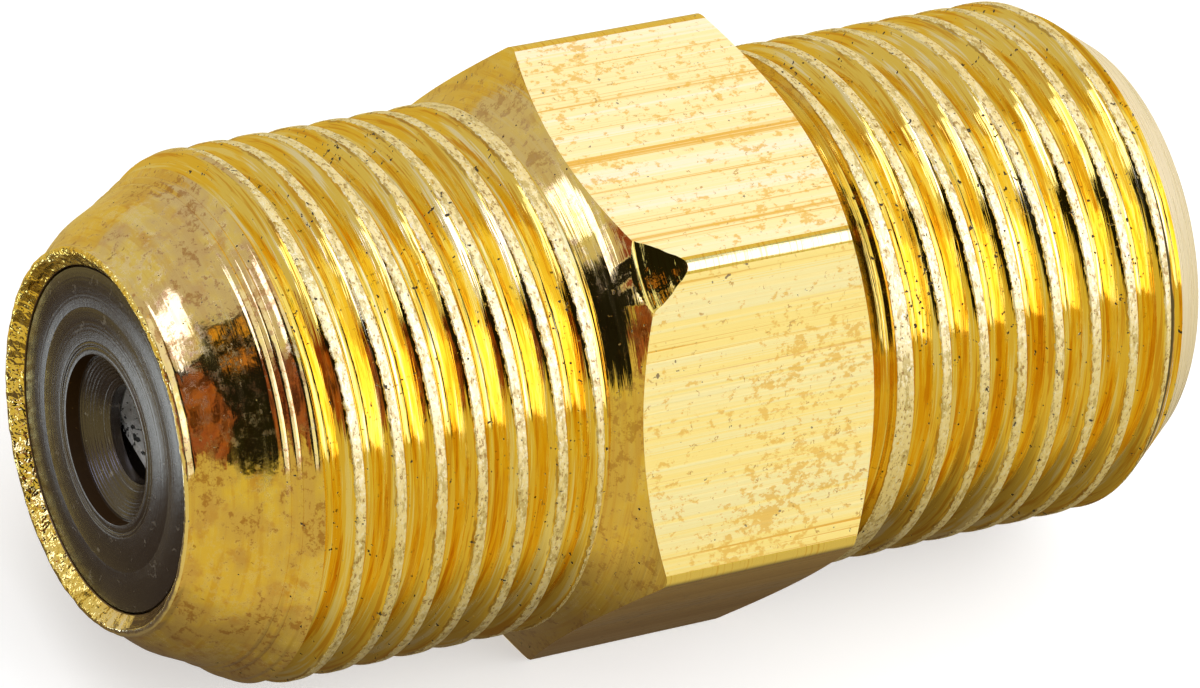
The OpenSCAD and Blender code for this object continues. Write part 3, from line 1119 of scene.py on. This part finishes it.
@dataclass(frozen=True)
class Studio:
    """White floor, soft light, and walls, a card and a shade that only show in the metal."""

    floor_z: float
    sky_light: float = 0.55
    floor_size: float = 6.0
    floor_glow: float = 0.50
    paper: Colour = (0.60, 0.60, 0.60)
    paper_bounce: Colour = (0.10, 0.07, 0.035)
    shade_rise: float = 2e-5
    shade_ends: Point = (0.0042, 0.011)
    shade_colours: tuple[Colour, Colour] = ((0.14, 0.10, 0.06), (0.64, 0.49, 0.17))
    # A darker painted shadow zone, then a bright zone that paints the insulator's sheen, each with its X
    # and Y limits in metres.
    shadow_and_glint_zones: tuple[tuple[Colour, tuple[float, ...], tuple[float, ...]], ...] = (
        ((0.10, 0.07, 0.05), (-0.018, -0.0165, -0.0122, -0.0112), (-0.0045, -0.002, 0.0085, 0.010)),
        ((2.7, 2.9, 2.95), (-0.0170, -0.0160, -0.0140, -0.0133), (0.0022, 0.0034, 0.0058, 0.0068)))
    walls: tuple[tuple[str, Point, Point, float, Colour], ...] = (
        ("front_wall", (180, 360), (0, 22), 0.60, (0.66, 0.52, 0.16)),
        ("back_wall", (64, 181), (0, 74), 0.45, (0.62, 0.55, 0.45)),
        ("amber_wall", (5, 64), (0, 62), 0.45, (0.74, 0.52, 0.14)),
        ("side_wall", (-6, 6), (0, 40), 0.61, (0.60, 0.52, 0.52)),
        ("front_window", (-82, 3), (22, 61), 0.40, (2.0, 1.9, 2.6)),
        ("side_window", (151, 181), (24, 36), 0.40, WINDOW),
        ("nose_window", (140, 168), (36, 45), 0.40, WINDOW),
        ("dark_block", (181, 228), (17, 76), 0.30, BLACK),
        ("dark_block_side", (228, 256), (19, 76), 0.30, BLACK),
        ("dark_block_top", (163, 181), (50, 76), 0.30, BLACK),
        ("copper_foot", (163, 186), (2, 14), 0.29, (0.26, 0.06, 0.04)),
        ("orange_block", (170, 186), (63, 68), 0.29, (0.70, 0.34, 0.05)),
        ("orange_slip", (205, 219), (60, 65), 0.29, (0.62, 0.24, 0.05)),
        ("grey_edge", (3, 26), (56, 62), 0.30, (0.36, 0.42, 0.30)))

    def emitter(self, name: str) -> tuple[Material, Wiring, NodeSocket]:
        """A material that only glows.

        Args:
            name: The material's name.

        Returns:
            The material, its wiring and the socket that takes its colour.
        """
        material = bpy.data.materials.new(name)
        w = Wiring.bare(material)
        glow = w.add("ShaderNodeEmission", None, Strength=1.0)
        w.add("ShaderNodeOutputMaterial", None, Surface=glow.outputs[0])
        return material, w, glow.inputs["Color"]

    def only_reflected(self, thing: Object, material: Material) -> None:
        """Makes a stage piece show in reflections only, and names it as its material."""
        thing.name = material.name
        thing.data.materials.append(material)
        thing.visible_camera = thing.visible_diffuse = False
        thing.visible_shadow = thing.visible_transmission = False

    def card(self, name: str, beside: Vector, bearing: Point, spread: Point, distance: float,
             colour: Colour) -> None:
        """A small streaked card close to one place, which shows only in reflections.

        Args:
            name: The card's name.
            beside: The place that it faces, in metres.
            bearing: Degrees from +X towards +Y, and degrees above the horizon.
            spread: Degrees that it takes up, across and up.
            distance: From that place, in metres.
            colour: What it shows.
        """
        away = self.towards(*bearing)
        deselect_all()
        bpy.ops.mesh.primitive_plane_add(size=1, location=beside + distance * away)
        card = bpy.context.object
        card.rotation_euler = away.to_track_quat("Z", "Y").to_euler()
        card.scale = (*(2 * distance * math.tan(math.radians(a / 2)) for a in spread), 1)
        material, w, glow = self.emitter(name)
        streaks = w.grain(w.own_place(), Grain(9.0, 1.6))
        w.feed(glow, w.blend(w.ramp(streaks, 0.42, 0.58), [c * 0.15 for c in colour], colour))
        self.only_reflected(card, material)

    def wall(self, name: str, bearings: Point, heights: Point, distance: float, colour: Colour) -> None:
        """A curved wall between two angles above the horizon, which shows only in reflections.

        Args:
            name: The wall's name.
            bearings: Where it starts and ends, in degrees from +X towards +Y.
            heights: Its foot and its top, in degrees above the horizon; a foot of 0 stands on the floor.
            distance: From the coupler, in metres.
            colour: What it shows.
        """
        start, end = map(math.radians, bearings)
        foot, top = (distance * math.tan(math.radians(a)) for a in heights)
        foot = foot or self.floor_z
        with new_line(name, distance * math.cos(start), distance * math.sin(start), foot) as wall:
            extrude_by(0, 0, top - foot)
            bpy.ops.mesh.select_all(action="SELECT")
            bpy.ops.mesh.spin(steps=48, angle=start - end, center=(0, 0, 0), axis=(0, 0, 1))
        material, w, glow = self.emitter(name)
        w.feed(glow, colour)
        self.only_reflected(wall, material)

    def table_shade(self) -> None:
        """The table as reflections show it: painted shadow beside the coupler, warm further out, with two
        zones to the left, a painted shadow zone and a bright painted glint zone that gives the
        insulator's face its sheen.
        """
        deselect_all()
        bpy.ops.mesh.primitive_circle_add(vertices=96, radius=1.0, fill_type="NGON",
                                          location=(0, 0, self.floor_z + self.shade_rise))
        material, w, glow = self.emitter("table_shade")
        x, y, _ = w.split(w.own_place())
        colour = w.blend(w.ramp(w.length(w.times(x, 0.5), y), *self.shade_ends), *self.shade_colours)
        for colour_here, *sides in self.shadow_and_glint_zones:
            inside = [w.times(w.ramp(value, a, b), w.ramp(value, d, c))
                      for value, (a, b, c, d) in zip((x, y), sides)]
            colour = w.blend(w.times(*inside), colour, colour_here)
        w.feed(glow, colour)
        self.only_reflected(bpy.context.object, material)

    def floor(self) -> None:
        """The pale floor, which keeps the shadow."""
        deselect_all()
        bpy.ops.mesh.primitive_plane_add(size=self.floor_size, location=(0, 0, self.floor_z))
        floor = bpy.context.object
        floor.name = "floor"
        material = bpy.data.materials.new("pale_floor")
        w = Wiring.bare(material)
        bounced = w.add("ShaderNodeLightPath").outputs["Is Diffuse Ray"]
        colour = w.blend(bounced, self.paper, self.paper_bounce)
        paper = w.add("ShaderNodeBsdfDiffuse", None, Color=colour)
        glow = w.add("ShaderNodeEmission", None, Color=WHITE, Strength=w.times(w.seen(), self.floor_glow))
        both = w.fill(w.add("ShaderNodeAddShader"), paper.outputs[0], glow.outputs[0])
        w.add("ShaderNodeOutputMaterial", None, Surface=both.outputs[0])
        floor.data.materials.append(material)

    def sky(self) -> None:
        """A white world, dimmer as a light than as a background."""
        world = bpy.data.worlds.new("sky")
        bpy.context.scene.world = world
        w = Wiring.bare(world)
        level = w.plus(self.sky_light, w.times(w.seen(), 1 - self.sky_light))
        glow = w.add("ShaderNodeBackground", None, Color=WHITE, Strength=level)
        w.add("ShaderNodeOutputWorld", None, Surface=glow.outputs[0])

    def lamp(self, name: str, place: Vector, size: float, watts: float) -> None:
        """A square soft lamp that faces the coupler."""
        data = bpy.data.lights.new(name, "AREA")
        data.shape, data.size, data.energy = "SQUARE", size, watts
        lamp = bpy.data.objects.new(name, data)
        lamp.location = place
        lamp.rotation_euler = place.to_track_quat("Z", "Y").to_euler()
        lamp.visible_glossy = False
        bpy.context.scene.collection.objects.link(lamp)

    def build(self) -> None:
        """Sets the floor, the sky, the lamps and what the metal shows."""
        self.floor()
        self.sky()
        self.lamp("top_softbox", Vector((0.0, -0.05, 0.5)), 0.8, 2.6)
        self.lamp("front_softbox", 0.5 * self.towards(-52, 43), 0.42, 0.85)
        for wall in self.walls:
            self.wall(*wall)
        self.card("copper_card", Vector((-9.8, -2.35, 2.8)) * MM, (206, 28), (48, 42), 0.005,
                  (0.38, 0.12, 0.05))
        self.table_shade()

    def towards(self, around: float, above: float) -> Vector:
        """The direction at degrees from +X towards +Y and degrees above the horizon."""
        a, e = math.radians(around), math.radians(above)
        return Vector((math.cos(e) * math.cos(a), math.cos(e) * math.sin(a), math.sin(e)))


@dataclass(frozen=True)
class Viewpoint:
    """The camera's place and turn, from its sight line."""

    place: tuple[float, float, float] = (-68.554, -80.483, 96.283)
    right: tuple[float, float, float] = (0.86051, -0.45235, 0.23431)
    up: tuple[float, float, float] = (0.17292, 0.69198, 0.70090)
    lens: float = 240.34

    def build(self) -> None:
        """Makes the camera and hands it to the scene."""
        data = bpy.data.cameras.new("camera")
        data.lens, data.sensor_width, data.clip_start = self.lens, 36.0, 0.005
        camera = bpy.data.objects.new("camera", data)
        right = Vector(self.right).normalized()
        back = right.cross(Vector(self.up)).normalized()
        turn = Matrix((right, back.cross(right), back)).transposed()
        camera.matrix_world = Matrix.Translation(Vector(self.place) * MM) @ turn.to_4x4()
        bpy.context.scene.collection.objects.link(camera)
        bpy.context.scene.camera = camera


# ---------------------------------------------------------------- all together

@dataclass
class Coupler:
    """The whole coupler, from its finishes to its pieces."""

    gold: dict[str, GoldFinish | DrawnFinish] = field(default_factory=lambda: {
        "thread": GoldFinish("gold_thread", colour=(0.96, 0.73, 0.14), crest_radius=4.75, pit_share=0.55,
                             line_share=0.85, line_colour=(1.0, 0.94, 0.60),
                             dark_colour=(0.78, 0.43, 0.03)),
        "nose": GoldFinish("gold_nose", roughness=0.10, line_roughness=0.17, lines_per_mm=6,
                           line_height=0.0003, tarnish_share=0.52, tarnish_colour=(0.66, 0.34, 0.12),
                           lumps=1.3, pit_share=0.4, mottle_share=1.0),
        # The rim takes a painted highlight on its -Y side.
        "rim": GoldFinish("gold_rim", roughness=0.20, lines_per_mm=4, line_height=0.005, pit_share=0.35,
                          lumps=2.4, smooth_painted_highlight_side=True),
        # Painted shade: a dark, dull copy of the gold for the rim's inner face.
        "recess": GoldFinish("gold_painted_shade_recess", colour=(0.12, 0.065, 0.02), line_colour=(0.22, 0.13, 0.04),
                             dark_colour=(0.06, 0.03, 0.01), roughness=0.5, metallic=0.3),
        "shoulder": GoldFinish("gold_shoulder", roughness=0.07, line_roughness=0.14, lines_per_mm=12,
                               tarnish_share=0.35, pit_share=0.45, mottle_share=0.7),
        # Painted light: the upper flats' copy is paler.
        "flat": DrawnFinish("gold_painted_light_flat"),
        "front": DrawnFinish("gold_front_flat", colour=(0.99, 0.83, 0.29), pale_colour=(1.0, 0.94, 0.54),
                             dark_colour=(0.80, 0.44, 0.04), mottle_colour=(0.84, 0.52, 0.08)),
        # Painted shade: the downward flats' copy is darker and browner.
        "under": DrawnFinish("gold_painted_shade_flat", colour=(0.62, 0.47, 0.25), pale_colour=(0.70, 0.56, 0.34),
                             dark_colour=(0.48, 0.33, 0.15), mottle_colour=(0.50, 0.38, 0.22),
                             metallic=0.92),
        "corner": GoldFinish("gold_corner", colour=(0.97, 0.86, 0.42), roughness=0.12,
                             line_height=0.0003),
        # The far chamfer carries the painted shade ring at its border.
        "far_chamfer": GoldFinish("gold_far_chamfer", colour=(0.95, 0.90, 0.74),
                                  line_colour=(1.0, 0.97, 0.86), dark_colour=(0.80, 0.72, 0.52),
                                  roughness=0.42, metallic=0.6, border_radius=4.75),
        "nick": GoldFinish("gold_nick", roughness=0.08, line_height=0.0008, lumps=1.4, tarnish_share=0.2),
        "bore": GoldFinish("gold_bore", roughness=0.3)})

    def build(self) -> None:
        """Makes the finishes, then every piece, and reports each."""
        materials = {name: finish.make() for name, finish in self.gold.items()}
        low, high = (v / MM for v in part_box("shell"))
        sizes = ShellSizes(near_end=low.x, far_end=high.x, flat_r=high.z, corner_r=high.y)
        self.report(Shell(sizes, materials).build())
        plastic = PlasticFinish("insulator_plastic").make()
        # Painted shade: a darker, duller copy of the plastic for the counterbore's recessed wall.
        wall = PlasticFinish("counterbore_plastic_painted_shade", colour=(0.030, 0.013, 0.002),
                             worn_colour=(0.040, 0.018, 0.003), dust_colour=(0.10, 0.05, 0.01),
                             roughness=0.5, shine=0.15).make()
        for node, order in (("near_insulator", 1), ("far_insulator", -1)):
            face, back = [v.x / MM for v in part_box(node)][::order]
            self.report(Insulator(node, face, back, plastic, wall).build())
        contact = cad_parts["contact"]
        contact.data.materials.clear()
        contact.data.materials.append(TinFinish("tinned_sheet").make())
        self.report(contact)

    def report(self, piece: Object) -> None:
        """Logs a piece's size."""
        log.info("%s: %d faces", piece.name, len(piece.data.polygons))


def main() -> None:
    """Builds the coupler, its studio and the camera."""
    logging.basicConfig(level=logging.INFO, format="%(message)s")
    EffectShelf().build()
    Coupler().build()
    Studio(floor_z=CAD_BOX[0].z).build()
    Viewpoint().build()
    bpy.context.scene.view_settings.view_transform = "Standard"


if __name__ == "__main__":
    main()
